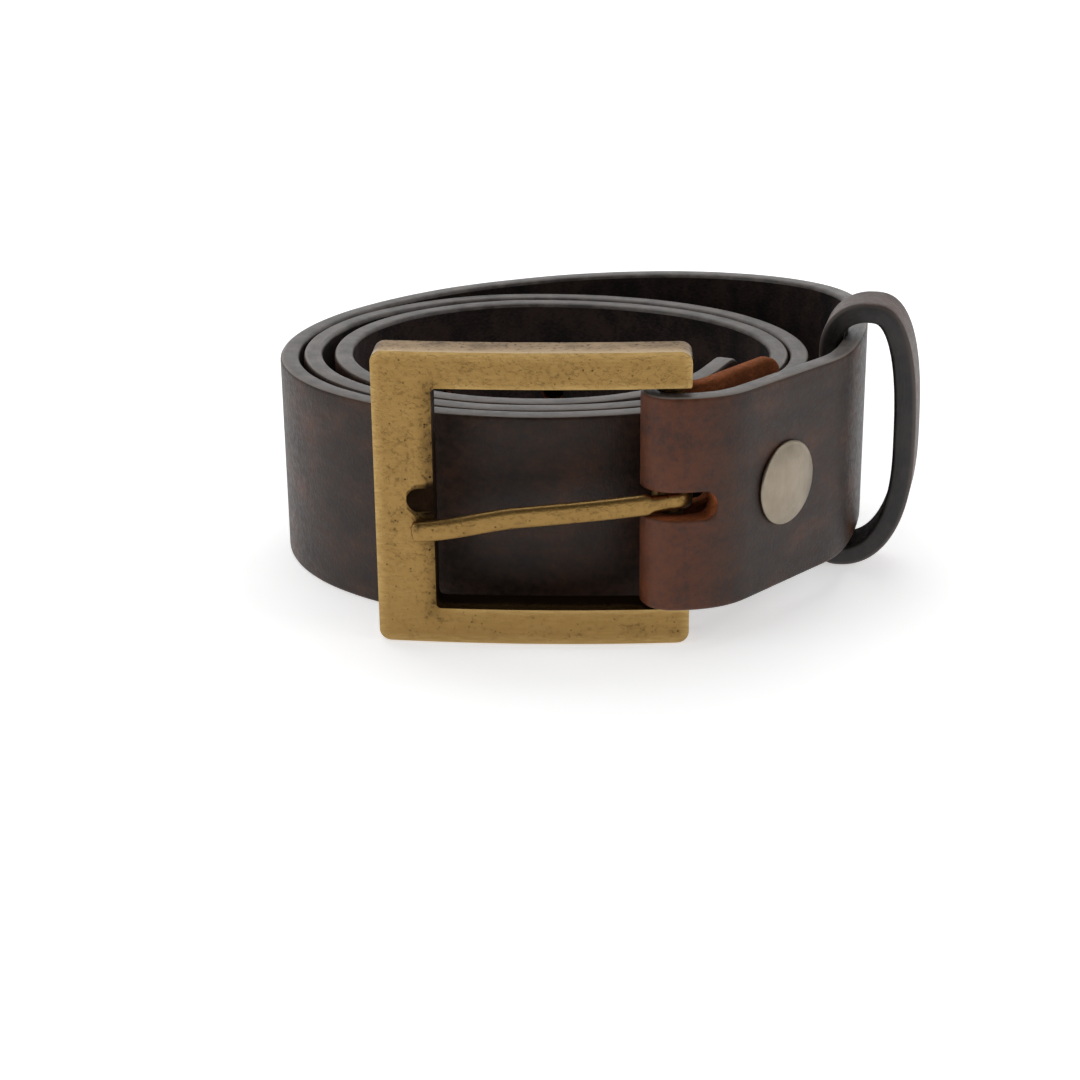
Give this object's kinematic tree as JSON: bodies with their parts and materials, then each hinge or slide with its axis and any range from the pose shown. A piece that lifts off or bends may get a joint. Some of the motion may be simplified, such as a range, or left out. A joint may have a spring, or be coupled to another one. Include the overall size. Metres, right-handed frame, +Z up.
{
  "type": "leather belt",
  "caption": "Coiled leather dress belt with a square heel-bar buckle and prong, a snap-closed turn-back, a sliding keeper loop and a punched tail.",
  "frame": {"origin": "On the table, under the middle of the whole object's box.", "axes": "X runs to the right of the buckle's front view, Y runs away from the buckle towards the back of the coil, Z is up. The coil stands on its edges on z = 0."},
  "size_m": [0.1194, 0.1066, 0.0522],
  "materials": {
    "strap_leather": "waxed full grain, dyed brown, burnished edges",
    "keeper_leather": "waxed full grain, dark dyed edges",
    "antique_brass": "antiqued, relieved on the edges, lacquered",
    "dark_brass": "antiqued, dull",
    "satin_nickel": "nickel plated, satin",
    "staple_wire": "bright drawn wire"
  },
  "bodies": {
    "strap": {"strap": "strap_leather", "snap_cap": "satin_nickel", "snap_socket": "satin_nickel", "snap_stud": "satin_nickel", "snap_post": "satin_nickel"},
    "buckle": {"buckle_frame": "antique_brass", "heel_bar": "dark_brass"},
    "prong": {"prong": "antique_brass"},
    "keeper": {"keeper_loop": "keeper_leather", "keeper_staples": "staple_wire"}
  },
  "joints": [
    {"name": "buckle_swing", "type": "hinge", "parent": "strap", "child": "buckle", "pos_m": [0.01119, -0.04746, 0.0262], "axis": [0, 0, 1], "range_deg": [-4, 35]},
    {"name": "prong_swing", "type": "hinge", "parent": "buckle", "child": "prong", "pos_m": [0.01119, -0.04746, 0.026], "axis": [0, 0, 1], "range_deg": [0, 65]},
    {"name": "keeper_slide", "type": "slide", "parent": "strap", "child": "keeper", "axis": [0.2419, 0.9703, 0], "range_m": [-0.0045, 0.0015]}
  ]
}
